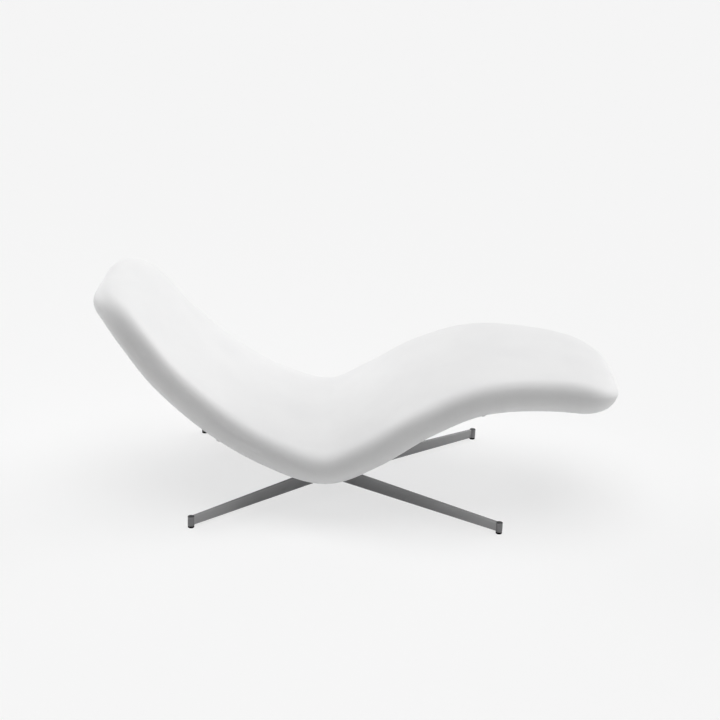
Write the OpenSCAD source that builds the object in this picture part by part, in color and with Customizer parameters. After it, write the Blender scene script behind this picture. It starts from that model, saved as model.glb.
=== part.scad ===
// Spa relaxation lounger: one seamless moulded body on a four-arm swivel base.
// Millimetres, +Z up, +X towards the foot end. The origin is on the floor, under the middle
// of the outline. Places along the side line are measured from the swivel's axis.
// Left and right are those of someone who lies on it: left is +Y.

/* [Side line, the height of the body's widest edge] */
// Swivel axis, from the middle of the length
hub_x = -80; // [-110:1:-50]
// Head end, along
head_x = -756; // [-800:1:-710]
// Head end, height
head_z = 664; // [600:1:740]
// Neck, along
neck_x = -655; // [-690:1:-600]
// Neck, height
neck_z = 618; // [560:1:680]
// Upper back, along
back_x = -510; // [-560:1:-460]
// Upper back, height
back_z = 458; // [400:1:520]
// Waist, along
waist_x = -340; // [-390:1:-290]
// Waist, height
waist_z = 322; // [280:1:370]
// Hip, along
hip_x = -170; // [-200:1:-140]
// Hip, height
hip_z = 233; // [215:1:260]
// Seat, the lowest place, along
seat_x = -10; // [-30:1:10]
// Seat, height
seat_z = 197; // [185:1:210]
// Thigh, along
thigh_x = 130; // [110:1:160]
// Thigh, height
thigh_z = 261; // [240:1:290]
// Under the knee, along
bend_x = 290; // [260:1:330]
// Under the knee, height
bend_z = 362; // [330:1:390]
// Knee, along
knee_x = 470; // [430:1:520]
// Knee, height
knee_z = 434; // [400:1:470]
// Calf, along
calf_x = 690; // [640:1:740]
// Calf, height
calf_z = 443; // [410:1:480]
// Foot end, along
foot_x = 916; // [860:1:960]
// Foot end, height
foot_z = 405; // [370:1:450]

/* [Half widths of the body] */
// Half width at the head end
head_w = 291; // [270:1:320]
// Half width at the neck
neck_w = 301; // [280:1:330]
// Half width at the upper back
back_w = 326; // [300:1:360]
// Half width at the waist
waist_w = 343; // [310:1:380]
// Half width at the hip
hip_w = 360; // [330:1:400]
// Half width at the seat
seat_w = 378; // [340:1:410]
// Half width at the thigh
thigh_w = 385; // [340:1:410]
// Half width under the knee
bend_w = 373; // [330:1:400]
// Half width at the knee
knee_w = 337; // [300:1:370]
// Half width at the calf
calf_w = 292; // [275:1:330]
// Half width at the foot end
foot_w = 248; // [230:1:280]

/* [Rounding below the body's widest edge, which is also its depth there] */
// Lower rounding at the head end
head_belly = 58; // [54:1:74]
// Lower rounding at the neck
neck_belly = 56; // [54:1:74]
// Lower rounding at the upper back
back_belly = 64; // [54:1:74]
// Lower rounding at the waist
waist_belly = 66; // [58:1:74]
// Lower rounding at the hip
hip_belly = 63; // [58:1:74]
// Lower rounding at the seat
seat_belly = 65; // [60:1:74]
// Lower rounding at the thigh
thigh_belly = 65; // [58:1:74]
// Lower rounding under the knee
bend_belly = 61; // [58:1:74]
// Lower rounding at the knee
knee_belly = 64; // [58:1:74]
// Lower rounding at the calf
calf_belly = 69; // [54:1:74]
// Lower rounding at the foot end
foot_belly = 60; // [54:1:74]

/* [Section of the body] */
// Rounding above the widest edge
top_round = 41; // [34:1:52]
// Crown of the lying surface between its two edges
crown = 8; // [0:1:16]
// Corner radius in plan, head end
head_corner = 171; // [140:1:220]
// Corner radius in plan, foot end
foot_corner = 135; // [110:1:180]
// Length over which the lying surface falls off towards the head end
head_fall = 115; // [80:5:180]
// Share of the upper rounding's height that is lost at the head end
head_fall_share = 0.16; // [0:0.01:0.4]
// Length over which the lying surface falls off towards the foot end
foot_fall = 157; // [100:1:220]
// Share of the upper rounding's height that is lost at the foot end
foot_fall_share = 0.48; // [0:0.01:0.55]
// Flat left at each end's nose
nose_flat = 0.5; // [0.3:0.1:1]

/* [Frame inside the body] */
// Depth of the frame's middle below the widest edge
frame_drop = 26; // [24:1:30]
// Height of a side plate, which stands on edge
side_height = 40; // [30:1:44]
// Thickness of a side plate
side_thick = 6; // [4:1:8]
// Side plate's middle from the centre line
side_y = 200; // [180:1:208]
// Radius of a cross tube
tube_r = 9; // [7:0.5:11]
// Wall of a cross tube
tube_wall = 1.5; // [1:0.25:2.5]
// Distance of a long cross tube's end from the body's edge
tube_inset = 36; // [30:1:44]
// Width of a support slat
slat_width = 36; // [25:1:38]
// Thickness of a support slat
slat_thick = 3; // [2:0.5:4]
// Reach of the cross plate towards the head, from the swivel's axis
plate_head = 100; // [80:1:110]
// Reach of the cross plate towards the foot
plate_foot = 50; // [48:1:54]
// Thickness of the cross plate
plate_thick = 6; // [5:0.5:7]
// Height of the side plates' land over their lowest edge
land_rise = 8; // [6:0.5:12]
// Clearance of the pocket in the foam round the cross plate
pocket_room = 4; // [2:0.5:8]

/* [Underside] */
// Underside panel's thickness
panel_thick = 2.5; // [2:0.5:4]
// Half width of the underside panel
panel_w = 250; // [220:1:260]
// Clearance of the panel's hole round the hub
panel_hole_room = 6; // [4:0.5:12]
// Radius of a cap on the underside
cap_r = 6.5; // [6:0.5:10]
// How far a cap stands proud
cap_proud = 2.5; // [2:0.5:4]
// Length of the screw under a cap
cap_screw = 34; // [31:1:40]
// Radius of the screw under a cap
cap_screw_r = 3; // [2:0.5:4]

/* [Swivel] */
// Radius of the swivel plate
swivel_r = 48; // [46:1:50]
// Thickness of the swivel plate
swivel_thick = 6; // [5:0.5:7]
// Radius of the spindle
spindle_r = 15; // [12:0.5:18]
// Radius of the spindle's threaded end
thread_r = 8; // [6:0.5:10]
// Running clearance of the spindle in its bushes
run_gap = 0.05; // [0.03:0.01:0.1]
// Clearance between faces that pass each other, and round what the foam holds
face_gap = 0.3; // [0.2:0.1:0.5]
// Thickness of the thrust washer
thrust_thick = 3; // [2:0.5:5]
// Length of a bush
bush_length = 30; // [20:1:36]
// Bolt circle of the swivel plate
bolt_circle = 76; // [74:1:80]
// Radius of a swivel bolt
bolt_r = 4; // [3:0.5:4.5]
// Radius of a swivel bolt's head
bolt_head_r = 6.5; // [5.5:0.5:7]
// Height of a swivel bolt's head
bolt_head_h = 4; // [3:0.5:5]
// Number of swivel bolts
bolts = 4; // [3:1:6]
// Radius of the retaining washer
keeper_r = 22; // [18:0.5:24]
// Thickness of the retaining washer
keeper_thick = 3; // [2:0.5:4]
// Retaining nut, radius to its corners
nut_r = 13.5; // [12:0.5:15]
// Retaining nut's height
nut_h = 10; // [8:0.5:12]

/* [Base] */
// Turn of the base against the body
base_turn = 3.2; // [-10:0.1:10]
// Feet on the head side, from the axis
feet_head_x = 440; // [400:1:500]
// Feet on the foot side, from the axis
feet_foot_x = 526; // [480:1:580]
// Feet, half of their spacing across
feet_y = 381; // [330:1:430]
// Outer radius of the hub
hub_r = 30; // [28:0.5:31]
// Wall of the hub
hub_wall = 4; // [3:0.5:5]
// Height of the hub's lower end over the floor
hub_floor = 8; // [7:0.5:11]
// Thickness of the plug in the hub's lower end
plug_thick = 3; // [2:0.5:4]
// Room between the plug and the retaining nut
nut_room = 3; // [1:0.5:6]
// Thickness of an arm's bar
arm_thick = 8; // [6:0.5:10]
// Arm's lower edge at the hub, height
arm_low_hub = 8.5; // [8:0.5:14]
// Arm's upper edge at the hub, height
arm_top_hub = 57; // [46:0.5:64]
// Arm's lower edge at the foot, height
arm_low_foot = 7; // [7:0.5:10]
// Arm's upper edge at the foot, height
arm_top_foot = 37.5; // [32:0.5:44]
// Radius of a foot's boss
boss_r = 10.5; // [8:0.5:12]

/* [Levelling feet] */
// Radius of a glide
glide_r = 10; // [7:0.5:12]
// Height of a glide
glide_h = 6; // [5:0.5:6.5]
// Rounding of a glide's lower edge
glide_round = 1.5; // [0.5:0.5:2.5]
// Radius of a stem
stem_r = 4; // [3:0.5:5]
// Travel of a levelling foot
level_travel = 8; // [4:1:10]
// Length of a stem that its boss still holds at full travel
stem_grip = 15.7; // [12:0.1:17]
// Depth of a stem's end in its glide
stem_seat = 3.5; // [2:0.5:4]

/* [Hidden] */
$fn = 64;
// A cut runs this far past the face it opens
over = 1;
// Step along the side line that its direction is measured over
step = 0.001;

// The side line's stations from head to foot, and the half widths and lower roundings there
stations = [
    [head_x, head_z], [neck_x, neck_z], [back_x, back_z], [waist_x, waist_z],
    [hip_x, hip_z], [seat_x, seat_z], [thigh_x, thigh_z], [bend_x, bend_z],
    [knee_x, knee_z], [calf_x, calf_z], [foot_x, foot_z]
];
half_widths = [head_w, neck_w, back_w, waist_w, hip_w, seat_w, thigh_w, bend_w, knee_w,
    calf_w, foot_w];
bellies = [head_belly, neck_belly, back_belly, waist_belly, hip_belly, seat_belly, thigh_belly,
    bend_belly, knee_belly, calf_belly, foot_belly];
last =len(stations) - 1;
seat_station = 5;

// Rings of the moulded body: close together at both noses, in shares of a station's step
head_ring_shares = [0.03, 0.08, 0.15, 0.26, 0.42, 0.62, 0.84];
foot_ring_shares = [0.7, 0.5, 0.34, 0.22, 0.13, 0.075, 0.04, 0.014];
ring_start_share = 1.1;
ring_step_share = 0.38;
foot_room_share = 0.8;
ring_end = last - foot_room_share;
ring_places = concat(
    [nose_flat / norm(stations[1] - stations[0])],
    head_ring_shares,
    [for (u = ring_start_share; u < ring_end; u = u + ring_step_share) u],
    [for (share = foot_ring_shares) last - share],
    [last - nose_flat / norm(stations[last] - stations[last - 1])]
);
// Places across a ring, in shares of its half width
across_shares = [1, 0.993, 0.972, 0.937, 0.885, 0.8, 0.62, 0.33];

// Places of the frame's bends, in shares of a station's step, and with room at both ends
frame_start_share = 0.95;
frame_step_share = 0.25;
frame_bends = 34;
end_room_share = 0.003;
frame_places = [for (i = [0 : frame_bends]) frame_start_share + i * frame_step_share];
slot_places = [for (i = [0 : frame_bends])
    frame_places[i] + (i == 0 ? -end_room_share : i == frame_bends ? end_room_share : 0)];
// Which stretches between two bends carry a slat
slat_stretches = [1 : 3 : frame_bends - 3];
// The panel bends where the body's rings lie
panel_places = [for (i = [5 : 18]) ring_start_share + i * ring_step_share];
seat_reach_share = 1;
seat_places = [for (u = frame_places) if (abs(u - seat_station) < seat_reach_share) u];

// Short cross tubes, and the two long ones that the capped screws hold
head_tube_share = frame_start_share + frame_step_share;
back_tube_share = 2;
waist_tube_share = 3.15;
thigh_tube_share = 6.6;
knee_tube_share = 7.96;
foot_tube_share = frame_start_share + (frame_bends - 1) * frame_step_share;
// Caps on the underside: a place along the side line and the side that it is on
cap_places = [[waist_tube_share, 1], [waist_tube_share, -1], [knee_tube_share, 1], [knee_tube_share, -1]];
// How far round the lower edge a cap sits, from sideways to straight down
cap_turn = 66;

// Heights that follow from the seat
plate_top = seat_z - frame_drop - side_height / 2 + land_rise;
swivel_top = plate_top - plate_thick;
hub_top = swivel_top - swivel_thick - thrust_thick;
bore_r = hub_r - hub_wall;
nut_low = hub_floor + plug_thick + nut_room;
shoulder = nut_low + nut_h + keeper_thick;
plate_w = side_y + side_thick / 2;

// Levelling feet
boss_low = glide_h + face_gap;
stem_top = boss_low + level_travel + stem_grip;
feet = [
    [-feet_head_x, feet_y], [-feet_head_x, -feet_y], [feet_foot_x, feet_y], [feet_foot_x, -feet_y]
];
head_left = 0;
head_right = 1;
foot_left = 2;
foot_right = 3;

// A smooth curve through a list of values: place u is a station's number, and may lie between
function kept(list, i) =
    i < 0 ? 2 * list[0] - list[1]
    : i > len(list) - 1 ? 2 * list[len(list) - 1] - list[len(list) - 2]
    : list[i];
function blend(a, b, c, d, t) =
    (2 * b + (c - a) * t + (2 * a - 5 * b + 4 * c - d) * t * t + (3 * b - a - 3 * c + d) * t * t * t) / 2;
function curve(list, u) =
    let (i = max(0, min(floor(u), len(list) - 2)))
    blend(kept(list, i - 1), kept(list, i), kept(list, i + 1), kept(list, i + 2), u - i);

// The side line's point, direction and upward normal at place u
function line_at(u) = curve(stations, u);
function direction(u) =
    let (d = line_at(min(u + step, last)) - line_at(max(u - step, 0))) d / norm(d);
function normal(u) = let (d = direction(u)) [-d.y, d.x];
function raised(u, n) = line_at(u) + n * normal(u);
function belly(u) = curve(bellies, u);

// Distance inward from the body's rounded outline in plan, at distance e from an end
function inset(e, y, w, corner) =
    e < corner && y > w - corner ? corner - norm([corner - e, y - (w - corner)]) : min(e, w - y);
function outline_w(e, w, corner) =
    e < corner ? w - corner + sqrt(corner * corner - (corner - e) * (corner - e)) : w;
// Height of a quarter round of radius r at a distance q in from its edge
function rounded(q, r) = q >= r ? r : sqrt(max(0, r * r - (r - q) * (r - q)));
// Share of the upper rounding's height that is left at these distances from the two ends
function left_share(to_head, to_foot) =
    1 - head_fall_share * pow(max(0, 1 - to_head / head_fall), 2)
    - foot_fall_share * pow(max(0, 1 - to_foot / foot_fall), 2);

// One ring of the moulded body: over the top from right to left, and back underneath
function ring(u) =
    let (
        to_head = norm(line_at(u) - line_at(0)),
        to_foot = norm(line_at(u) - line_at(last)),
        e = min(to_head, to_foot),
        corner = to_head < to_foot ? head_corner : foot_corner,
        w = curve(half_widths, u),
        edge = outline_w(e, w, corner),
        upper_share = left_share(to_head, to_foot),
        shares = concat([for (s = across_shares) -s], [0],
            [for (i = [len(across_shares) - 1 : -1 : 0]) across_shares[i]]),
        count = len(shares)
    )
    concat(
        [for (s = shares)
            let (q = inset(e, abs(s) * edge, w, corner),
                bow = crown * (1 - s * s) * rounded(e, corner) / corner,
                p = raised(u, rounded(q, top_round) * upper_share + bow))
            [p.x, s * edge, p.y]],
        [for (i = [count - 2 : -1 : 1])
            let (s = shares[i], q = inset(e, abs(s) * edge, w, corner),
                p = raised(u, -rounded(q, belly(u))))
            [p.x, s * edge, p.y]]
    );

// Outline of a strip that follows the side line, between the depths near and far
function strip(places, near, far) =
    concat([for (u = places) raised(u, -near)],
        [for (i = [len(places) - 1 : -1 : 0]) raised(places[i], -far)]);

module at_axis() { translate([hub_x, 0, 0]) children(); }
module at_foot(which) { at_axis() rotate(base_turn) translate(feet[which]) children(); }
// Stands a side outline up and gives it a width across the lounger
module across(width) { rotate([90, 0, 0]) linear_extrude(width, center = true) children(); }
module ring_of(outer, inner, height) {
    difference() {
        cylinder(r = outer, h = height);
        translate([0, 0, -over]) cylinder(r = inner, h = height + 2 * over);
    }
}

module body_form() {
    rings = [for (u = ring_places) ring(u)];
    count = len(rings[0]);
    points = [for (r = rings) each r];
    sides = [for (i = [0 : len(rings) - 2], j = [0 : count - 1])
        let (a = i * count + j, b = i * count + (j + 1) % count)
        each [[a, b, b + count], [a, b + count, a + count]]];
    polyhedron(points, concat(sides,
        [[for (j = [count - 1 : -1 : 0]) j]],
        [[for (j = [0 : count - 1]) (len(rings) - 1) * count + j]]));
}

// What lies under the middle of the frame at the cross plate, down to a height
module under_seat(low, room) {
    intersection() {
        polygon(strip(seat_places, frame_drop, seat_z));
        translate([-plate_head - room, low]) square([plate_head + plate_foot + 2 * room, seat_z]);
    }
}

// Seamless integral-skin foam, moulded round the frame, with a pocket for the cross plate
module moulded_body() {
    color("white") at_axis() difference() {
        body_form();
        for (side = [-1, 1]) translate([0, side * side_y, 0]) across(side_thick + 2 * face_gap)
            polygon(strip(slot_places, frame_drop - side_height / 2 - face_gap,
                frame_drop + side_height / 2 + face_gap));
        for (u = [head_tube_share, back_tube_share, thigh_tube_share, foot_tube_share])
            tube_form(u, tube_r + face_gap, side_y);
        for (u = [waist_tube_share, knee_tube_share])
            tube_form(u, tube_r + face_gap, long_tube(u) + face_gap);
        for (i = slat_stretches) slat(i, face_gap);
        across(2 * (plate_w + pocket_room)) under_seat(0, pocket_room);
        for (p = cap_places) cap_seat(p) {
            translate([0, 0, -cap_screw]) cylinder(r = cap_screw_r + face_gap, h = cap_screw);
            translate([0, 0, -face_gap]) cylinder(r = cap_r + face_gap, h = cap_proud);
        }
    }
}

// Side plate, cut on the side line's curve, with a land under the seat for the cross plate
module side_plate(side) {
    color("dimgray") at_axis() difference() {
        translate([0, side * side_y, 0]) across(side_thick) {
            polygon(strip(frame_places, frame_drop - side_height / 2, frame_drop + side_height / 2));
            under_seat(plate_top, 0);
        }
        translate([-plate_head, -plate_w - over, 0])
            cube([plate_head + plate_foot, 2 * (plate_w + over), plate_top]);
        for (u = [waist_tube_share, knee_tube_share]) tube_form(u, tube_r, long_tube(u));
    }
}
module side_plate_left() { side_plate(1); }
module side_plate_right() { side_plate(-1); }

// Cross tubes: the short ones end at the side plates, and the long ones pass through them
function long_tube(u) = curve(half_widths, u) - tube_inset;
module tube_form(u, r, reach) {
    p = raised(u, -frame_drop);
    translate([p.x, reach, p.y]) rotate([90, 0, 0]) cylinder(r = r, h = 2 * reach);
}
module cross_tube(u, reach) {
    color("dimgray") at_axis() difference() {
        tube_form(u, tube_r, reach);
        tube_form(u, tube_r - tube_wall, reach + over);
        if (reach > side_y) for (p = cap_places) if (p[0] == u) cap_seat(p)
            translate([0, 0, -cap_screw]) cylinder(r = cap_screw_r, h = cap_screw);
    }
}
module head_cross_tube() { cross_tube(head_tube_share, side_y - side_thick / 2); }
module back_cross_tube() { cross_tube(back_tube_share, side_y - side_thick / 2); }
module waist_cross_tube() { cross_tube(waist_tube_share, long_tube(waist_tube_share)); }
module thigh_cross_tube() { cross_tube(thigh_tube_share, side_y - side_thick / 2); }
module knee_cross_tube() { cross_tube(knee_tube_share, long_tube(knee_tube_share)); }
module foot_cross_tube() { cross_tube(foot_tube_share, side_y - side_thick / 2); }

// Flat slats across the side plates' upper edges, each on a straight stretch between two bends
module slat(i, room) {
    near = frame_drop - side_height / 2;
    from = raised(frame_places[i], -near);
    to = raised(frame_places[i + 1], -near);
    translate([(from.x + to.x) / 2, 0, (from.y + to.y) / 2])
        rotate([0, -atan2(to.y - from.y, to.x - from.x), 0])
        translate([-slat_width / 2 - room, -plate_w - room, -room])
        cube([slat_width + 2 * room, 2 * (plate_w + room), slat_thick + 2 * room]);
}
module support_slats() {
    color("dimgray") at_axis() for (i = slat_stretches) slat(i, 0);
}

module bolt_ring() {
    for (i = [0 : bolts - 1]) rotate((i + 0.5) * 360 / bolts) translate([bolt_circle / 2, 0, 0]) children();
}

// Plate across both side plates at the seat, which the swivel plate bolts to
module cross_plate() {
    color("dimgray") at_axis() difference() {
        translate([-plate_head, -plate_w, swivel_top])
            cube([plate_head + plate_foot, 2 * plate_w, plate_thick]);
        translate([0, 0, swivel_top - over]) bolt_ring() cylinder(r = bolt_r, h = plate_thick + 2 * over);
    }
}

// Thin panel bonded under the foam from waist to calf, with a hole for the hub
function below(u, room) = raised(u, -belly(u) - room);
module underside_panel() {
    color("gainsboro") at_axis() difference() {
        across(2 * panel_w) polygon(concat([for (u = panel_places) below(u, face_gap)],
            [for (i = [len(panel_places) - 1 : -1 : 0]) below(panel_places[i], face_gap + panel_thick)]));
        cylinder(r = hub_r + panel_hole_room, h = swivel_top);
    }
}

// Capped screws that hold the foam to the long cross tubes, square to its lower rounding
module cap_seat(place) {
    p = line_at(place[0]);
    d = direction(place[0]);
    w = curve(half_widths, place[0]);
    depth = belly(place[0]);
    translate([p.x, place[1] * (w - depth), p.y]) rotate([0, -atan2(d.y, d.x), 0])
        rotate([180 + place[1] * (90 - cap_turn), 0, 0]) translate([0, 0, depth]) children();
}
module underside_caps() {
    color("silver") at_axis() for (p = cap_places) cap_seat(p) {
        cylinder(r1 = cap_r, r2 = cap_r - cap_proud / 2, h = cap_proud);
        translate([0, 0, -cap_screw]) cylinder(r = cap_screw_r, h = cap_screw);
    }
}

// Steel plate that carries the body on the spindle
module swivel_plate() {
    color("silver") at_axis() translate([0, 0, swivel_top - swivel_thick]) difference() {
        cylinder(r = swivel_r, h = swivel_thick);
        translate([0, 0, -over]) bolt_ring() cylinder(r = bolt_r, h = swivel_thick + 2 * over);
        translate([0, 0, -over]) cylinder(r = spindle_r, h = swivel_thick + 2 * over);
    }
}
module swivel_bolts() {
    color("darkgray") at_axis() translate([0, 0, swivel_top - swivel_thick]) bolt_ring() {
        cylinder(r = bolt_r, h = swivel_thick + plate_thick);
        translate([0, 0, -bolt_head_h]) cylinder(r = bolt_head_r, h = bolt_head_h);
    }
}

// Spindle welded into the swivel plate, with a threaded lower end
module spindle() {
    color("silver") at_axis() {
        translate([0, 0, shoulder]) cylinder(r = spindle_r, h = swivel_top - shoulder);
        translate([0, 0, nut_low]) cylinder(r = thread_r, h = shoulder - nut_low);
    }
}
module keeper_washer() {
    color("darkgray") at_axis() translate([0, 0, nut_low + nut_h])
        ring_of(keeper_r, thread_r, keeper_thick);
}
module keeper_nut() {
    color("darkgray") at_axis() translate([0, 0, nut_low]) difference() {
        cylinder(r = nut_r, h = nut_h, $fn = 6);
        translate([0, 0, -over]) cylinder(r = thread_r, h = nut_h + 2 * over);
    }
}
module thrust_washer() {
    color("ivory") at_axis() translate([0, 0, hub_top])
        ring_of(hub_r, spindle_r + run_gap, thrust_thick);
}
module bush(z) {
    color("ivory") at_axis() translate([0, 0, z]) ring_of(bore_r, spindle_r + run_gap, bush_length);
}
module upper_bush() { bush(hub_top - bush_length); }
module lower_bush() { bush(shoulder + face_gap); }

// Upright steel tube that the four arms are welded to
module base_hub() {
    color("silver") at_axis() translate([0, 0, hub_floor]) ring_of(hub_r, bore_r, hub_top - hub_floor);
}
module hub_plug() {
    color("black") at_axis() translate([0, 0, hub_floor]) cylinder(r = bore_r, h = plug_thick);
}

// Flat bar on edge, deeper at the hub, coped to the hub and to its boss
module arm(which) {
    foot = feet[which];
    reach = norm(foot);
    color("silver") at_axis() rotate(base_turn) rotate(atan2(foot.y, foot.x)) difference() {
        across(arm_thick) polygon([
            [0, arm_low_hub], [reach, arm_low_foot], [reach, arm_top_foot], [0, arm_top_hub]
        ]);
        cylinder(r = hub_r, h = arm_top_hub + over);
        translate([reach, 0, 0]) cylinder(r = boss_r, h = arm_top_foot + over);
    }
}
module arm_head_left() { arm(head_left); }
module arm_head_right() { arm(head_right); }
module arm_foot_left() { arm(foot_left); }
module arm_foot_right() { arm(foot_right); }

// Round boss at the end of an arm, drilled from below for the levelling stem
module boss(which) {
    color("silver") at_foot(which) difference() {
        translate([0, 0, boss_low]) cylinder(r = boss_r, h = arm_top_foot - boss_low);
        cylinder(r = stem_r + run_gap, h = stem_top + face_gap);
    }
}
module boss_head_left() { boss(head_left); }
module boss_head_right() { boss(head_right); }
module boss_foot_left() { boss(foot_left); }
module boss_foot_right() { boss(foot_right); }

// Threaded stem, seated in its glide
module stem(which) {
    low = glide_h - stem_seat;
    color("silver") at_foot(which) translate([0, 0, low])
        cylinder(r = stem_r, h = stem_top - low);
}
module stem_head_left() { stem(head_left); }
module stem_head_right() { stem(head_right); }
module stem_foot_left() { stem(foot_left); }
module stem_foot_right() { stem(foot_right); }

// Black plastic glide with a rounded lower edge
module glide(which) {
    color("black") at_foot(which) difference() {
        rotate_extrude() {
            square([glide_r - glide_round, glide_h]);
            translate([0, glide_round]) square([glide_r, glide_h - glide_round]);
            translate([glide_r - glide_round, glide_round]) circle(r = glide_round);
        }
        translate([0, 0, glide_h - stem_seat]) cylinder(r = stem_r, h = stem_seat + over);
    }
}
module glide_head_left() { glide(head_left); }
module glide_head_right() { glide(head_right); }
module glide_foot_left() { glide(foot_left); }
module glide_foot_right() { glide(foot_right); }

moulded_body();
side_plate_left();
side_plate_right();
head_cross_tube();
back_cross_tube();
waist_cross_tube();
thigh_cross_tube();
knee_cross_tube();
foot_cross_tube();
support_slats();
cross_plate();
underside_panel();
underside_caps();
swivel_plate();
swivel_bolts();
spindle();
keeper_washer();
keeper_nut();
thrust_washer();
upper_bush();
lower_bush();
base_hub();
hub_plug();
arm_head_left();
arm_head_right();
arm_foot_left();
arm_foot_right();
boss_head_left();
boss_head_right();
boss_foot_left();
boss_foot_right();
stem_head_left();
stem_head_right();
stem_foot_left();
stem_foot_right();
glide_head_left();
glide_head_right();
glide_foot_left();
glide_foot_right();
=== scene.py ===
import math

import bmesh
import bpy
import numpy as np
from mathutils import Matrix, Vector


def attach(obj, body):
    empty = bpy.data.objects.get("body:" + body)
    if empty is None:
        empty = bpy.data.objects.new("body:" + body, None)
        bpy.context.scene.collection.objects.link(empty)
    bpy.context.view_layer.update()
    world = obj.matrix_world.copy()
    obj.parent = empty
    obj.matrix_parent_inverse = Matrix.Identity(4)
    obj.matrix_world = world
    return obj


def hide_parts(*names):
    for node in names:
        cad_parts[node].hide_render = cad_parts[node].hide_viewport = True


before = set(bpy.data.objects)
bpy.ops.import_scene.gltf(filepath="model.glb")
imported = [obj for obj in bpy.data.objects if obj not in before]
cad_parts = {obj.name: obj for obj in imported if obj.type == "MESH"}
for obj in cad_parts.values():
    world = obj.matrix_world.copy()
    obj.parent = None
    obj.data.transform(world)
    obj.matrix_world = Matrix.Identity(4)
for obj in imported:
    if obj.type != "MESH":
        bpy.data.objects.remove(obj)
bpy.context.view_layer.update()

# Moulded body
# One piece of soft integral-skin foam, white right through, moulded in a closed tool round the
# steel frame. It has no cover, seam or stitch: a smooth satin skin with a very fine drawn grain
# runs round the rolled edge to the underside, where a pocket leaves room for the swivel.

# The swivel's axis along the length. Places along the side line are measured from it.
axis_x = -0.080
# The side line, which is the body's widest edge: eleven stations from head to foot, each with its
# place along and its height, and then the half width and the lower rounding at each of them
stations = np.array([
    (-0.756, 0.664), (-0.655, 0.618), (-0.510, 0.458), (-0.340, 0.322), (-0.170, 0.233),
    (-0.010, 0.197), (0.130, 0.261), (0.290, 0.362), (0.470, 0.434), (0.690, 0.443), (0.916, 0.405)])
half_widths = np.array([0.291, 0.301, 0.326, 0.343, 0.360, 0.378, 0.385, 0.373, 0.337, 0.292, 0.248])
bellies = np.array([0.058, 0.056, 0.064, 0.066, 0.063, 0.065, 0.065, 0.061, 0.064, 0.069, 0.060])
last_station = len(stations) - 1
# Rounding above the edge: its height, the way in over which it flattens out, and its power, and
# then the crown of the lying surface between its two edges
top_round = 0.041
top_run = 0.052
top_power = 2.7
crown = 0.008
# Corners in plan, and how the lying surface falls off at an end: the share of the upper rounding's
# height that is lost there, and the length of the fall
head_corner = 0.171
foot_corner = 0.135
head_fall = (0.16, 0.115)
foot_fall = (0.48, 0.157)
# Pocket over the swivel: how far it reaches, its lower end below the foam, and its roof, which
# keeps a fixed drop below the side line over a stretch of stations
pocket_head = -0.104
pocket_foot = 0.054
pocket_side = 0.207
pocket_low = 0.08
roof_drop = 0.026
roof_stretch = (3.9, 5.9)
roof_points = 40
# Fineness of the skin: the spacing of its rings, the rings at an end, the points across the rolled
# edge and across half of the flat, and the steps along the side line that distances are read from
ring_spacing = 0.006
end_rings = 42
rim_points = 22
flat_points = 13
line_steps = 8000
end_steps = 2000
skin_white = (0.88, 0.88, 0.88, 1)
skin_cool = (0.856, 0.856, 0.858, 1)


def smooth(values, u):
    """A curve through values, one per station, at places u: each stretch is the cubic that leaves
    a station along the line between its two neighbours, with mirrored points past both ends."""
    ends = np.concatenate([2 * values[:1] - values[1:2], values, 2 * values[-1:] - values[-2:-1]])
    i = np.clip(np.floor(u).astype(int), 0, len(values) - 2)
    t = (u - i).reshape(u.shape + (1,) * (values.ndim - 1))
    a, b, c, d = (ends[i + k] for k in range(4))
    return (2 * b + (c - a) * t + (2 * a - 5 * b + 4 * c - d) * t**2 + (3 * b - a - 3 * c + d) * t**3) / 2


def upward(u):
    """The side line's upward normal at places u: its direction over a tiny step, turned a quarter."""
    step = 0.001
    d = smooth(stations, np.minimum(u + step, last_station)) - smooth(stations, np.maximum(u - step, 0))
    d = d / np.linalg.norm(d, axis=-1, keepdims=True)
    return np.stack([-d[..., 1], d[..., 0]], -1)


def rolled(q, r):
    """Height of a quarter round of radius r at distance q in from its edge, and r further in."""
    return np.sqrt(np.maximum(0, r**2 - np.maximum(0, r - q) ** 2))


def eased(q, r, run):
    """Height of a soft round that is upright at its edge and flattens out to r over a longer run:
    r times the root of 1 less a power of the share of the run that is left at distance q."""
    return r * np.sqrt(np.maximum(0, 1 - np.clip(1 - q / run, 0, 1) ** top_power))


def from_ends(u):
    """Distance of places u from the nearer end, straight, the corner radius at that end, and the
    share of the upper rounding's height that is left there: all of it, less each end's lost share
    times the square of the share of that end's fall which still lies between."""
    line = smooth(stations, u)
    to_head = np.linalg.norm(line - stations[0], axis=-1)
    to_foot = np.linalg.norm(line - stations[-1], axis=-1)
    left = 1.0
    for (lost, length), away in ((head_fall, to_head), (foot_fall, to_foot)):
        left = left - lost * np.maximum(0, 1 - away / length) ** 2
    return np.minimum(to_head, to_foot), np.where(to_head < to_foot, head_corner, foot_corner), left


def ring_places():
    """Places of the rings: close together where the ends round off, and a few millimetres apart
    between, by looking distances up along a finely divided side line."""
    fine = np.linspace(0, last_station, line_steps + 1)
    line = smooth(stations, fine)
    to_head = np.linalg.norm(line - stations[0], axis=1)
    to_foot = np.linalg.norm(line - stations[-1], axis=1)
    run = np.concatenate([[0], np.cumsum(np.linalg.norm(np.diff(line, axis=0), axis=1))])
    arc = 1 - np.cos(np.linspace(0, math.pi / 2, end_rings))
    head = np.interp(head_corner * arc, to_head[:end_steps], fine[:end_steps])
    foot = np.interp(foot_corner * arc, to_foot[:-end_steps:-1], fine[:-end_steps:-1])
    start, stop = np.interp([head[-1], foot[-1]], fine, run)
    steps = np.linspace(start, stop, round((stop - start) / ring_spacing))
    return np.concatenate([head, np.interp(steps[1:-1], run, fine), foot[::-1]])


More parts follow.
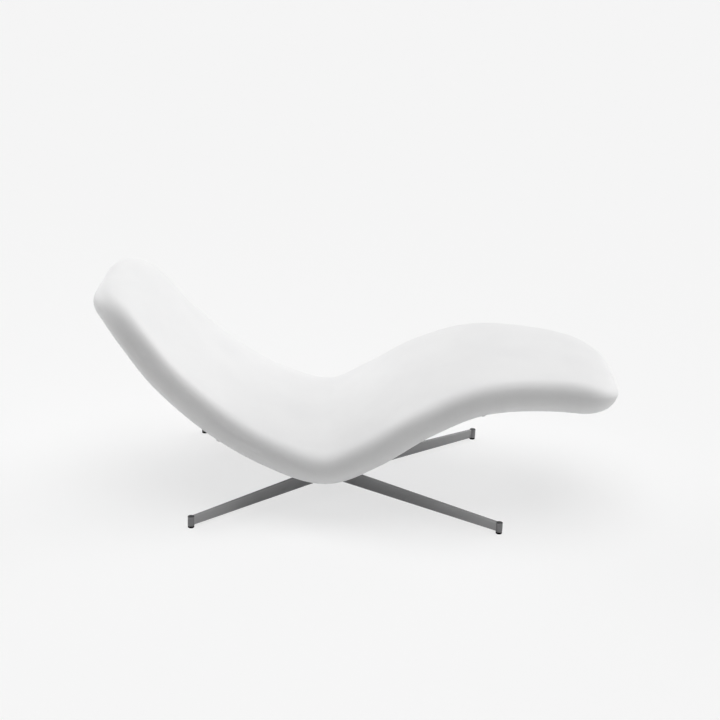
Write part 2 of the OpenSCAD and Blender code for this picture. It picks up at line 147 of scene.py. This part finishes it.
def body_skin():
    """Grid of the body's skin. Ring by ring, the plan's half width is the station's, less the
    rounded corner near an end. Over the top, from right to left, the skin rises from the edge by
    the upper rounding plus a shallow crown, and back underneath it falls by the station's lower
    rounding, both along the side line's normal and by the distance in from the plan's outline."""
    u = ring_places()[:, None]
    e, corner, left = from_ends(u)
    w = smooth(half_widths, u)
    edge = w - np.where(e < corner, corner - np.sqrt(np.maximum(0, corner**2 - (corner - e) ** 2)), 0)
    belly = smooth(bellies, u)
    near = belly * (1 - np.cos(np.linspace(0, math.pi / 2, rim_points)))
    half = np.concatenate([edge - near, (edge - belly) * np.linspace(1, 0, flat_points)[1:]], axis=1)
    y = np.concatenate([-half, half[:, -2::-1], half[:, 1:], -half[:, -2:0:-1]], axis=1)
    top = np.arange(y.shape[1]) < 2 * half.shape[1] - 1
    lean = np.hypot(corner - e, np.abs(y) - (w - corner))
    inset = np.where((e < corner) & (np.abs(y) > w - corner), corner - lean,
                     np.minimum(e, w - np.abs(y)))
    share = np.divide(y, edge)
    bow = crown * (1 - share**2) * rolled(e, corner) / corner
    rise = np.where(top, eased(inset, top_round, top_run) * left + bow, -rolled(inset, belly))
    at = smooth(stations, u[:, 0])[:, None] + rise[..., None] * upward(u[:, 0])[:, None]
    return np.stack([axis_x + at[..., 0], y, at[..., 1]], -1)


def shells(name, grids, capped=True, crease=40, **lays):
    """A mesh object from grids of points. Each row of a grid is one closed ring, neighbouring rings
    join by four-sided faces, and a capped grid has its first and last ring filled. Each lay is a
    vector that every point carries, by which a pattern follows the surface. Points that fall
    together are merged, the faces point outwards, and edges sharper than the crease stay sharp."""
    points, faces, start = [], [], 0
    for grid in grids:
        rows, count = grid.shape[:2]
        i, j = np.meshgrid(np.arange(rows - 1), np.arange(count), indexing="ij")
        k = (j + 1) % count
        quads = np.stack([i * count + j, i * count + k, (i + 1) * count + k, (i + 1) * count + j], -1)
        faces += (start + quads.reshape(-1, 4)).tolist()
        if capped:
            first = start + np.arange(count)
            faces += [first[::-1].tolist(), (first + (rows - 1) * count).tolist()]
        points.append(grid.reshape(-1, 3))
        start += rows * count
    mesh = bpy.data.meshes.new(name)
    mesh.from_pydata(np.concatenate(points), [], faces)
    for key, rows in lays.items():
        data = np.concatenate([row.reshape(-1, 3) for row in rows]).astype(np.float32)
        mesh.attributes.new(key, "FLOAT_VECTOR", "POINT").data.foreach_set("vector", data.ravel())
    made = bmesh.new()
    made.from_mesh(mesh)
    bmesh.ops.remove_doubles(made, verts=made.verts, dist=1e-6)
    bmesh.ops.recalc_face_normals(made, faces=made.faces)
    made.to_mesh(mesh)
    made.free()
    mesh.polygons.foreach_set("use_smooth", np.ones(len(mesh.polygons), bool))
    mesh.set_sharp_from_angle(angle=math.radians(crease))
    piece = bpy.data.objects.new(name, mesh)
    bpy.context.scene.collection.objects.link(piece)
    return piece


class Wire:
    """An output socket of a finish. A sum, difference or product of it and another wire or a
    number adds the Math node for it."""

    def __init__(self, finish, socket):
        self.finish, self.socket = finish, socket

    def joined(self, operation, first, second):
        """A Math node of two wires or numbers."""
        return self.finish.node("ShaderNodeMath", {"operation": operation}, {0: first, 1: second})

    def __add__(self, other):
        return self.joined("ADD", self, other)

    def __radd__(self, other):
        return self.joined("ADD", other, self)

    def __rsub__(self, other):
        return self.joined("SUBTRACT", other, self)

    def __mul__(self, other):
        return self.joined("MULTIPLY", self, other)

    def __rmul__(self, other):
        return self.joined("MULTIPLY", other, self)


class Finish:
    """A surface finish: a Principled shader with its uniform values set on its own sockets, and
    the nodes that vary its colour, roughness and relief over the piece."""

    def __init__(self, name, **uniform):
        self.material = bpy.data.materials.new(name)
        self.material.use_nodes = True
        self.tree = self.material.node_tree
        self.shader = self.tree.nodes["Principled BSDF"]
        for key, value in uniform.items():
            self.shader.inputs[key.replace("_", " ")].default_value = value

    def node(self, kind, settings, inputs, output=0):
        """Adds a node: its settings first, then the values or wires of its sockets."""
        made = self.tree.nodes.new(kind)
        for key, value in settings.items():
            setattr(made, key, value)
        for key, value in inputs.items():
            if isinstance(value, Wire):
                self.tree.links.new(value.socket, made.inputs[key])
            else:
                made.inputs[key].default_value = value
        return Wire(self, made.outputs[output])

    def carried(self, lay):
        """What each point of the piece carries under a name."""
        return self.node("ShaderNodeAttribute", {"attribute_name": lay}, {}, "Vector")

    def part(self, vector, axis):
        """One of a vector's three parts."""
        return self.node("ShaderNodeSeparateXYZ", {}, {0: vector}, axis)

    def level(self):
        """1 on a level face, 0 on an upright one: the square of the normal's upright part."""
        up = self.part(self.node("ShaderNodeNewGeometry", {}, {}, "Normal"), "Z")
        return up * up

    def place(self, scale, lay=None):
        """Object coordinates, or the piece's own lay, stretched by a scale in marks per metre."""
        source = self.carried(lay) if lay else self.node("ShaderNodeTexCoord", {}, {}, "Object")
        return self.node("ShaderNodeMapping", {}, {"Vector": source, "Scale": scale})

    def noise(self, scale, detail, rough=0.5, lay=None):
        """Noise from 0 to 1 with so many marks per metre along each direction."""
        return self.node("ShaderNodeTexNoise", {}, {
            "Vector": self.place(scale, lay), "Scale": 1.0, "Detail": detail, "Roughness": rough})

    def blend(self, share, low, high):
        """A colour between two, by a share from 0 to 1."""
        return self.node("ShaderNodeMix", {"data_type": "RGBA"}, {0: share, 6: low, 7: high}, 2)

    def ramp(self, value, low, high):
        """0 below low, 1 above high, and a straight run between."""
        return self.node("ShaderNodeMapRange", {}, {0: value, 1: low, 2: high})

    def wear(self, colour, roughness, relief, depth, strength):
        """Leads the varying colour, roughness and relief into the shader, and returns the material.
        The relief's depth is in metres, and its strength is from 0 to 1."""
        bump = self.node("ShaderNodeBump", {}, {
            "Strength": strength, "Distance": depth, "Height": relief})
        for name, wire in (("Base Color", colour), ("Roughness", roughness), ("Normal", bump)):
            self.tree.links.new(wire.socket, self.shader.inputs[name])
        return self.material


def moulded_skin():
    """Satin foam skin: faint cool clouds, a drawn grain across the body and a fine pebble."""
    skin = Finish("moulded_skin", Roughness=0.5, IOR=1.42, Specular_IOR_Level=0.35)
    clouds = skin.noise((5, 5, 5), 2.0)
    drawn = skin.noise((55, 420, 55), 3.0, 0.6)
    pebble = skin.noise((900, 900, 900), 2.0)
    cool = skin.ramp(clouds * 0.75 + drawn * 0.25, 0.38, 0.62)
    return skin.wear(skin.blend(cool, skin_white, skin_cool), 0.46 + clouds * 0.06 + drawn * 0.06,
                     drawn * 0.45 + pebble * 0.55, 0.0003, 0.35)


def swivel_pocket():
    """Grid of the pocket's space: one outline at either side of the body, whose roof runs along
    the side line at the drop below it, cut off by two upright ends, with a level lower end."""
    u = np.linspace(*roof_stretch, roof_points)
    roof = smooth(stations, u) - roof_drop * upward(u)
    between = (roof[:, 0] > pocket_head) & (roof[:, 0] < pocket_foot)
    at_head, at_foot = ((x, np.interp(x, roof[:, 0], roof[:, 1])) for x in (pocket_head, pocket_foot))
    outline = np.array([at_head, *roof[between], at_foot,
                        (pocket_foot, pocket_low), (pocket_head, pocket_low)])
    return np.stack([np.stack([axis_x + outline[:, 0], np.full(len(outline), side), outline[:, 1]], -1)
                     for side in (-pocket_side, pocket_side)])


body = shells("body_moulding", [body_skin()], capped=False, crease=60)
cutter = shells("pocket", [swivel_pocket()])
cut = body.modifiers.new("pocket", "BOOLEAN")
cut.object, cut.operation, cut.solver = cutter, "DIFFERENCE", "EXACT"
cut_mesh = bpy.data.meshes.new_from_object(body.evaluated_get(bpy.context.evaluated_depsgraph_get()))
body.modifiers.clear()
body.data = cut_mesh
bpy.data.objects.remove(cutter)
body.data.materials.clear()
body.data.materials.append(moulded_skin())
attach(body, "lounger")
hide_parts("moulded_body")

# Frame inside the foam
# Two side plates of 6 mm steel, cut on the body's curve, six round cross tubes, flat slats and the
# cross plate, welded together, blasted and powder-coated dark grey before the foam is moulded.
coat_dark = (0.03, 0.031, 0.034, 1)
coat_pale = (0.055, 0.056, 0.06, 1)


def dress(material, *nodes):
    """Gives CAD nodes a material, through the slots that they have."""
    for name in nodes:
        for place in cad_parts[name].material_slots:
            place.material = material


def powder_coat():
    """Dark grey powder coat: orange peel, with the tone a little uneven."""
    coat = Finish("powder_coat", Metallic=0.0, IOR=1.5)
    peel = coat.noise((650, 650, 650), 2.0)
    cloud = coat.noise((14, 14, 14), 3.0)
    return coat.wear(coat.blend(cloud, coat_dark, coat_pale),
                     0.42 + peel * 0.12 + cloud * 0.08, peel, 0.0002, 0.5)


dress(powder_coat(), "side_plate_left", "side_plate_right", "head_cross_tube", "back_cross_tube",
      "waist_cross_tube", "thigh_cross_tube", "knee_cross_tube", "foot_cross_tube", "support_slats",
      "cross_plate")

# Underside
# A thin light grey panel with a fine leather grain is bonded under the foam from waist to calf and
# leaves a round hole for the hub. Four low white caps near the edges cover the screws that hold
# the foam to the two long cross tubes.
board_dark = (0.6, 0.6, 0.615, 1)
board_pale = (0.72, 0.72, 0.735, 1)
cap_dark = (0.84, 0.84, 0.84, 1)
cap_pale = (0.88, 0.88, 0.88, 1)


def grained_board():
    """Matt light grey sheet: a pressed leather grain of small cells, a little darker in its lines."""
    board = Finish("grained_board", IOR=1.46)
    cells = board.node("ShaderNodeTexVoronoi", {"feature": "DISTANCE_TO_EDGE"},
                       {"Vector": board.place((420, 420, 420)), "Scale": 1.0})
    line = board.ramp(cells, 0.0, 0.16)
    cloud = board.noise((9, 9, 9), 3.0)
    return board.wear(board.blend(0.7 * line + 0.3 * cloud, board_dark, board_pale),
                      0.72 - line * 0.12, line, 0.00025, 0.6)


def cap_plastic():
    """Satin white plastic of the caps: fine moulding grain, the tone a little uneven."""
    plastic = Finish("cap_plastic", IOR=1.46, Specular_IOR_Level=0.35)
    grain = plastic.noise((900, 900, 900), 2.0)
    cloud = plastic.noise((60, 60, 60), 3.0)
    return plastic.wear(plastic.blend(cloud, cap_dark, cap_pale),
                        0.42 + grain * 0.14, grain, 0.0001, 0.4)


dress(grained_board(), "underside_panel")
dress(cap_plastic(), "underside_caps")

# Swivel
# A round steel plate bolted under the cross plate carries the spindle, which turns in two nylon
# bushes in the hub and rests on a nylon thrust washer. A washer and a nut below keep it in.
steel_dark = (0.46, 0.46, 0.465, 1)
steel_pale = (0.58, 0.58, 0.58, 1)
zinc_dark = (0.45, 0.46, 0.47, 1)
zinc_pale = (0.62, 0.62, 0.6, 1)
ivory_dark = (0.72, 0.68, 0.55, 1)
ivory_pale = (0.8, 0.77, 0.66, 1)


def ground_steel():
    """Bright ground steel: fine rings of tool marks round the swivel's axis."""
    steel = Finish("ground_steel", Metallic=1.0)
    marks = steel.noise((40, 40, 1800), 2.0)
    cloud = steel.noise((25, 25, 25), 3.0)
    return steel.wear(steel.blend(cloud, steel_dark, steel_pale),
                      0.24 + marks * 0.16, marks, 0.00006, 0.5)


def zinc_plate():
    """Zinc-plated steel: cool grey with faint passivation clouds."""
    zinc = Finish("zinc_plate", Metallic=1.0)
    cloud = zinc.noise((60, 60, 60), 4.0)
    spark = zinc.noise((900, 900, 900), 2.0)
    return zinc.wear(zinc.blend(cloud, zinc_dark, zinc_pale),
                     0.3 + cloud * 0.14 + spark * 0.06, spark, 0.00005, 0.4)


def bush_nylon():
    """Cast nylon, ivory, with faint turning marks."""
    nylon = Finish("bush_nylon", IOR=1.53)
    marks = nylon.noise((60, 60, 1500), 2.0)
    cloud = nylon.noise((30, 30, 30), 3.0)
    return nylon.wear(nylon.blend(cloud, ivory_dark, ivory_pale),
                      0.4 + marks * 0.15, marks, 0.0001, 0.4)


dress(ground_steel(), "swivel_plate", "spindle")
zinc = zinc_plate()
dress(zinc, "swivel_bolts", "keeper_washer", "keeper_nut")
dress(bush_nylon(), "thrust_washer", "upper_bush", "lower_bush")

# Base: hub, four arms and bosses
# Four flat steel bars on edge, 8 mm thick and deeper at the hub, are welded to an upright tube
# under the body and to a round boss at each outer end. Sides are brushed lengthwise. Level faces
# of the bars, hub and bosses carry a painted dark reflection, darkest on the bosses' turned faces,
# and the dark heat tint beside each weld is also painted shade in the joint.

# Turn of the base against the body, and each foot's place from the hub's axis before that turn
base_turn = math.radians(3.2)
feet = {"head_left": (-0.440, 0.381), "head_right": (-0.440, -0.381),
        "foot_left": (0.526, 0.381), "foot_right": (0.526, -0.381)}
# The hub's tube: its outer and inner radius, its two ends, and the rounding of its edges
hub_r = 0.030
bore_r = 0.026
hub_low = 0.008
hub_top = 0.144
hub_edge = 0.0008
# An arm: half its thickness, the rounding of its edges, and the heights of its lower and upper
# edge, at the hub's axis and at the foot
arm_half = 0.004
arm_edge = 0.0009
arm_low = (0.0085, 0.007)
arm_top = (0.057, 0.0375)
# A boss: its radius, lower end and rounding, the hole for the stem, and the rings of its flat top
boss_r = 0.0105
boss_low = 0.0063
boss_edge = 0.0007
stem_hole = 0.00405
hole_top = 0.0303
top_rings = (0.006, 0.003)
# A weld: its bead, which stops short of the arm's edges, the spacing and depth of its scallops,
# how its ends draw in, and how far and how strongly its dark heat tint, also painted joint shade,
# darkens the arm beside it
weld_r = 0.0016
weld_stop = 0.001
scallop_spacing = 0.0021
scallop_share = 0.14
end_power = 12
end_least = 0.01
weld_tint_shade_reach = 0.004
weld_tint_shade_share = 0.7
# Tones of the arms and the hub, whose marks have a share of the main one, and of the bosses
arm_tone = (0.37, 0.37, 0.373, 1)
arm_mark_share = 0.82
# Painted dark reflection, laid over the steel where a bar's or the hub's face lies level
level_reflection_tone = (0.075, 0.075, 0.078, 1)
# Dark heat tint of the welds, made darker still as painted shade in the joint
weld_tint_shade_tone = (0.022, 0.021, 0.02, 1)
boss_dark = (0.16, 0.16, 0.163, 1)
boss_pale = (0.26, 0.26, 0.264, 1)
# Painted dark reflection on the bosses' level faces
boss_top_reflection_tone = (0.05, 0.05, 0.053, 1)


def corner(centre, radius, start, end, count=5):
    """Points of an arc from one angle to another, in degrees, round a centre."""
    a = np.radians(np.linspace(start, end, count))
    return np.stack([centre[0] + radius * np.cos(a), centre[1] + radius * np.sin(a)], -1)


def turned(profile, x, y, count=64):
    """A profile of radius and height turned about the upright line at x, y, and the lay that its
    tool marks follow: the way round it, the radius and the height."""
    a = np.linspace(0, 2 * math.pi, count, endpoint=False)
    profile = np.asarray(profile)
    r, z = profile[:, :1], profile[:, 1:]
    grid = np.stack([x + r * np.cos(a), y + r * np.sin(a), z + 0 * a], -1)
    lay = np.stack([r * 0 + a * boss_r, r + 0 * a, z + 0 * a], -1)
    return grid, lay


def swung(points, angle):
    """Points measured from the hub's axis along an arm, turned to the arm's angle."""
    c, s = math.cos(angle), math.sin(angle)
    x, y, z = points[..., 0], points[..., 1], points[..., 2]
    return np.stack([axis_x + c * x - s * y, s * x + c * y, z], -1)


def bar(reach, count=41):
    """A bar on edge: a rectangle with rounded corners, whose lower and upper edge run straight
    from the hub to the foot, carried from the hub's round face to the boss's."""
    inner = arm_half - arm_edge
    outline = np.concatenate([corner((inner, -1), 1, -90, 0), corner((inner, 1), 1, 0, 90),
                              corner((-inner, 1), 1, 90, 180), corner((-inner, -1), 1, 180, 270)])
    side = np.sign(outline[:, 1])
    across = np.where(outline[:, 0] > inner, inner + (outline[:, 0] - inner) * arm_edge, outline[:, 0])
    across = np.where(outline[:, 0] < -inner, -inner + (outline[:, 0] + inner) * arm_edge, across)
    lift = (outline[:, 1] - side) * arm_edge
    from_hub = np.sqrt(hub_r**2 - across**2)
    to_boss = reach - np.sqrt(boss_r**2 - across**2)
    share = np.linspace(0, 1, count)[:, None]
    x = from_hub + (to_boss - from_hub) * share
    low = arm_low[0] + (arm_low[1] - arm_low[0]) * x / reach + arm_edge
    top = arm_top[0] + (arm_top[1] - arm_top[0]) * x / reach - arm_edge
    z = np.where(side > 0, top, low) + lift
    return np.stack([x, across + 0 * x, z], -1)


def weld(x, y, low, top, count=60):
    """An upright bead along a joint: a thin round rod whose radius rises and falls in even
    scallops, and draws in at both ends by the root of 1 less a power of the way from its middle."""
    z = np.linspace(low, top, count)
    a = np.linspace(0, 2 * math.pi, 10, endpoint=False)
    scallops = 1 - scallop_share + scallop_share * np.cos(2 * math.pi * z / scallop_spacing)
    from_middle = np.abs(2 * (z - low) / (top - low) - 1)
    swell = weld_r * scallops * np.sqrt(np.clip(1 - from_middle**end_power, end_least, 1))
    return np.stack([x + swell[:, None] * np.cos(a), y + swell[:, None] * np.sin(a),
                     z[:, None] + 0 * a], -1)


def brushed_steel():
    """Brushed steel: fine marks along the bar, a painted dark reflection on its level faces above and
    below, and a dark tint on and beside the welds, burnt in and also painted joint shade, whose
    strength each point carries in an attribute."""
    steel = Finish("brushed_steel", Metallic=1.0)
    grain = steel.noise((18, 2600, 2600), 2.0, 0.6, lay="lay")
    long = steel.noise((5, 260, 260), 3.0, lay="lay")
    # Painted dark reflection: the steel turns darker where a face lies level, above and below the bar
    edge = steel.ramp(steel.level(), 0.25, 0.8)
    # Dark weld tint, burnt in and also painted shade in the joint
    heat = steel.part(steel.carried("heat"), "X")
    arm_dark = tuple(arm_mark_share * t for t in arm_tone[:3]) + (1,)
    colour = steel.blend(0.5 * grain + 0.5 * long, arm_dark, arm_tone)
    colour = steel.blend(0.3 * edge, colour, level_reflection_tone)
    colour = steel.blend(heat, colour, weld_tint_shade_tone)
    return steel.wear(colour, 0.36 + grain * 0.14 + edge * 0.1 + heat * 0.1, grain * 0.8 + long * 0.2,
                      0.00005, 0.6)


arm_steel = brushed_steel()
for name, (foot_x, foot_y) in feet.items():
    angle = base_turn + math.atan2(foot_y, foot_x)
    reach = math.hypot(foot_x, foot_y)
    steel = bar(reach)
    from_weld = np.minimum(reach - boss_r - steel[..., 0], steel[..., 0] - hub_r)
    # Strength of the weld tint and painted joint shade, fading out from each weld
    heat = np.clip(1 - from_weld / weld_tint_shade_reach, 0, 1) * weld_tint_shade_share
    grids, lays, weld_tint_shades = [swung(steel, angle)], [steel], [np.repeat(heat[..., None], 3, -1)]
    for side in (-1, 1):
        for x, low, top in ((math.sqrt(hub_r**2 - arm_half**2), arm_low[0], arm_top[0]),
                            (reach - math.sqrt(boss_r**2 - arm_half**2), arm_low[1], arm_top[1])):
            bead = weld(x, side * arm_half, low + weld_stop, top - weld_stop)
            grids.append(swung(bead, angle))
            lays.append(bead)
            weld_tint_shades.append(np.ones(bead.shape))
    arm = shells("bar_" + name, grids, lay=lays, heat=weld_tint_shades)
    arm.data.materials.append(arm_steel)
    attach(arm, "base")
    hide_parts("arm_" + name)


def turned_steel():
    """Turned steel boss: rings of tool marks round it, and a painted dark reflection on its level faces.
    """
    steel = Finish("turned_steel", Metallic=1.0)
    rings = steel.noise((30, 2500, 2500), 2.0, lay="lay")
    cloud = steel.noise((300, 300, 300), 3.0)
    # Painted dark reflection: darker where the boss's face lies level
    face = steel.ramp(steel.level(), 0.3, 0.85)
    colour = steel.blend(0.6 * rings + 0.4 * cloud, boss_dark, boss_pale)
    colour = steel.blend(face, colour, boss_top_reflection_tone)
    return steel.wear(colour, 0.34 + rings * 0.14 + face * 0.08, rings, 0.00006, 0.6)


boss_steel = turned_steel()
boss_profile = np.concatenate([
    [(0, hole_top), (stem_hole, hole_top), (stem_hole, boss_low), (boss_r - boss_edge, boss_low)],
    corner((boss_r - boss_edge, boss_low + boss_edge), boss_edge, -60, 0, 4),
    corner((boss_r - boss_edge, arm_top[1] - boss_edge), boss_edge, 0, 90, 6),
    [(ring, arm_top[1]) for ring in (*top_rings, 0)]])
places = {}
for name, (foot_x, foot_y) in feet.items():
    places[name] = swung(np.array([foot_x, foot_y, 0.0]), base_turn)[:2]
    grid, lay = turned(boss_profile, *places[name])
    boss = shells("boss_turned_" + name, [grid], capped=False, lay=[lay])
    boss.data.materials.append(boss_steel)
    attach(boss, "base")
    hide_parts("boss_" + name)

hub_profile = np.concatenate([
    corner((hub_r - hub_edge, hub_low + hub_edge), hub_edge, -90, 0),
    corner((hub_r - hub_edge, hub_top - hub_edge), hub_edge, 0, 90),
    corner((bore_r + hub_edge, hub_top - hub_edge), hub_edge, 90, 180),
    corner((bore_r + hub_edge, hub_low + hub_edge), hub_edge, 180, 270)])
grid, lay = turned(np.concatenate([hub_profile, hub_profile[:1]]), axis_x, 0, 96)
hub = shells("hub_tube", [grid], capped=False, lay=[lay], heat=[0 * grid])
hub.data.materials.append(arm_steel)
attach(hub, "base")
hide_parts("base_hub")

# Levelling feet
# A threaded steel stem in each boss ends in a black nylon glide, turned by hand to level the
# base. A plug of the same nylon closes the hub from below.

# A glide: its radius, height, lower and upper rounding, and the radius and lower end of its stem
glide_r = 0.010
glide_h = 0.006
glide_edge = 0.0015
glide_top_edge = 0.0006
stem_r = 0.004
stem_low = 0.0025
nylon_black = (0.003, 0.003, 0.0032, 1)
nylon_scuffed = (0.012, 0.012, 0.0123, 1)


def black_nylon():
    """Black moulded nylon: fine spark texture, scuffed a little paler where it is rubbed."""
    nylon = Finish("black_nylon", IOR=1.5, Specular_IOR_Level=0.08)
    spark = nylon.noise((1100, 1100, 1100), 2.0)
    scuff = nylon.ramp(nylon.noise((90, 90, 260), 4.0), 0.55, 0.8)
    return nylon.wear(nylon.blend(scuff, nylon_black, nylon_scuffed),
                      0.5 + spark * 0.12, spark, 0.00012, 0.5)


nylon = black_nylon()
dress(nylon, "hub_plug")
dress(zinc, *("stem_" + name for name in feet))
glide_profile = np.concatenate([
    [(0, 0), (stem_r, 0)], corner((glide_r - glide_edge, glide_edge), glide_edge, -90, 0, 7),
    corner((glide_r - glide_top_edge, glide_h - glide_top_edge), glide_top_edge, 0, 90),
    [(stem_r, glide_h), (stem_r, stem_low), (0, stem_low)]])
for name, (x, y) in places.items():
    grid, _ = turned(glide_profile, x, y)
    glide = shells("glide_turned_" + name, [grid], capped=False)
    glide.data.materials.append(nylon)
    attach(glide, "leveller_" + name)
    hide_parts("glide_" + name)

# Studio
# A plain pale floor that runs into a background of the same tone, broad soft lamps from above and
# from the far side towards both ends, one more over the head end, and the photograph's camera.

# The floor: half its side, its own tone, the tone that the camera sees laid over it and the share
# of that, which lets the shadows show, and the share of the tone that shows in the steel
floor_half = 40
floor_white = 0.9
floor_glow = 0.976
floor_shown = 0.68
floor_in_steel = 0.18
background = 0.922
# The broad lamps: azimuth from the foot end towards the far side, elevation, strength and angle,
# in degrees
broad_lamps = {"foot_side": (30, 15, 1.58, 45), "head_side": (150, 15, 1.14, 45),
               "above": (90, 90, 2.0, 60)}
# The lamp over the head end: where it hangs, what it points at, its power in watts and its side
head_lamp_at = Vector((-0.9, 0.3, 2.4))
head_lamp_aim = Vector((-0.7, 0, 0.5))
head_lamp_power = 4.0
head_lamp_side = 1.6
# The camera: where it stands, how far it looks down and leans, and its lens and sensor in mm
camera_at = (0.0051, -4.6190, 2.1043)
camera_pitch = math.radians(19.90)
camera_roll = math.radians(2.57)
lens = 75
sensor = 36


def grey(tone):
    """A colour of one tone."""
    return (tone, tone, tone, 1)


def shown(finish, in_steel):
    """1 for a ray from the camera or through glass, and a share for one that steel mirrors."""
    path = finish.node("ShaderNodeLightPath", {}, {}, "Is Camera Ray")
    glossy = Wire(finish, path.socket.node.outputs["Is Glossy Ray"])
    through = Wire(finish, path.socket.node.outputs["Is Transmission Ray"])
    return finish.node("ShaderNodeMath", {"operation": "ADD", "use_clamp": True},
                       {0: path + through, 1: glossy * in_steel})


corners = ((-floor_half, -floor_half, 0), (floor_half, -floor_half, 0),
           (floor_half, floor_half, 0), (-floor_half, floor_half, 0))
mesh = bpy.data.meshes.new("floor")
mesh.from_pydata(corners, [], [(0, 1, 2, 3)])
floor = bpy.data.objects.new("floor", mesh)
bpy.context.scene.collection.objects.link(floor)
paint = Finish("floor_paint")
paint.tree.nodes.remove(paint.shader)
matt = paint.node("ShaderNodeBsdfDiffuse", {}, {"Color": grey(floor_white)})
glow = paint.node("ShaderNodeEmission", {}, {"Color": grey(floor_glow), "Strength": 1.0})
mixed = paint.node("ShaderNodeMixShader", {},
                   {0: shown(paint, floor_in_steel) * floor_shown, 1: matt, 2: glow})
paint.tree.links.new(mixed.socket, paint.tree.nodes["Material Output"].inputs["Surface"])
floor.data.materials.append(paint.material)

world = bpy.data.worlds.new("studio")
bpy.context.scene.world = world
world.use_nodes = True


class Sky(Finish):
    """The world's own nodes, laid by the same methods as a finish's."""

    def __init__(self):
        self.tree = world.node_tree


sky = Sky()
dark = sky.node("ShaderNodeBackground", {}, {"Color": grey(1), "Strength": 0.0})
pale = sky.node("ShaderNodeBackground", {}, {"Color": grey(background), "Strength": 1.0})
mixed = sky.node("ShaderNodeMixShader", {}, {0: shown(sky, 1.0), 1: dark, 2: pale})
sky.tree.links.new(mixed.socket, sky.tree.nodes["World Output"].inputs["Surface"])


def hang(lamp, away):
    """Puts a lamp into the scene, turned to shine from the direction that it lies away in."""
    holder = bpy.data.objects.new(lamp.name, lamp)
    holder.rotation_euler = away.to_track_quat("Z", "Y").to_euler()
    bpy.context.scene.collection.objects.link(holder)
    return holder


for name, (azimuth, elevation, strength, angle) in broad_lamps.items():
    lamp = bpy.data.lights.new(name, "SUN")
    lamp.energy, lamp.angle = strength, math.radians(angle)
    a, e = math.radians(azimuth), math.radians(elevation)
    hang(lamp, Vector((math.cos(a) * math.cos(e), math.sin(a) * math.cos(e), math.sin(e))))

lamp = bpy.data.lights.new("over_head", "AREA")
lamp.energy, lamp.size = head_lamp_power, head_lamp_side
hang(lamp, head_lamp_at - head_lamp_aim).location = head_lamp_at

camera = bpy.data.cameras.new("camera")
camera.lens, camera.sensor_width = lens, sensor
eye = bpy.data.objects.new("camera", camera)
eye.matrix_world = (Matrix.Translation(camera_at)
                    @ Matrix.Rotation(math.radians(90) - camera_pitch, 4, "X")
                    @ Matrix.Rotation(camera_roll, 4, "Z"))
bpy.context.scene.collection.objects.link(eye)
bpy.context.scene.camera = eye
bpy.context.scene.view_settings.view_transform = "Standard"
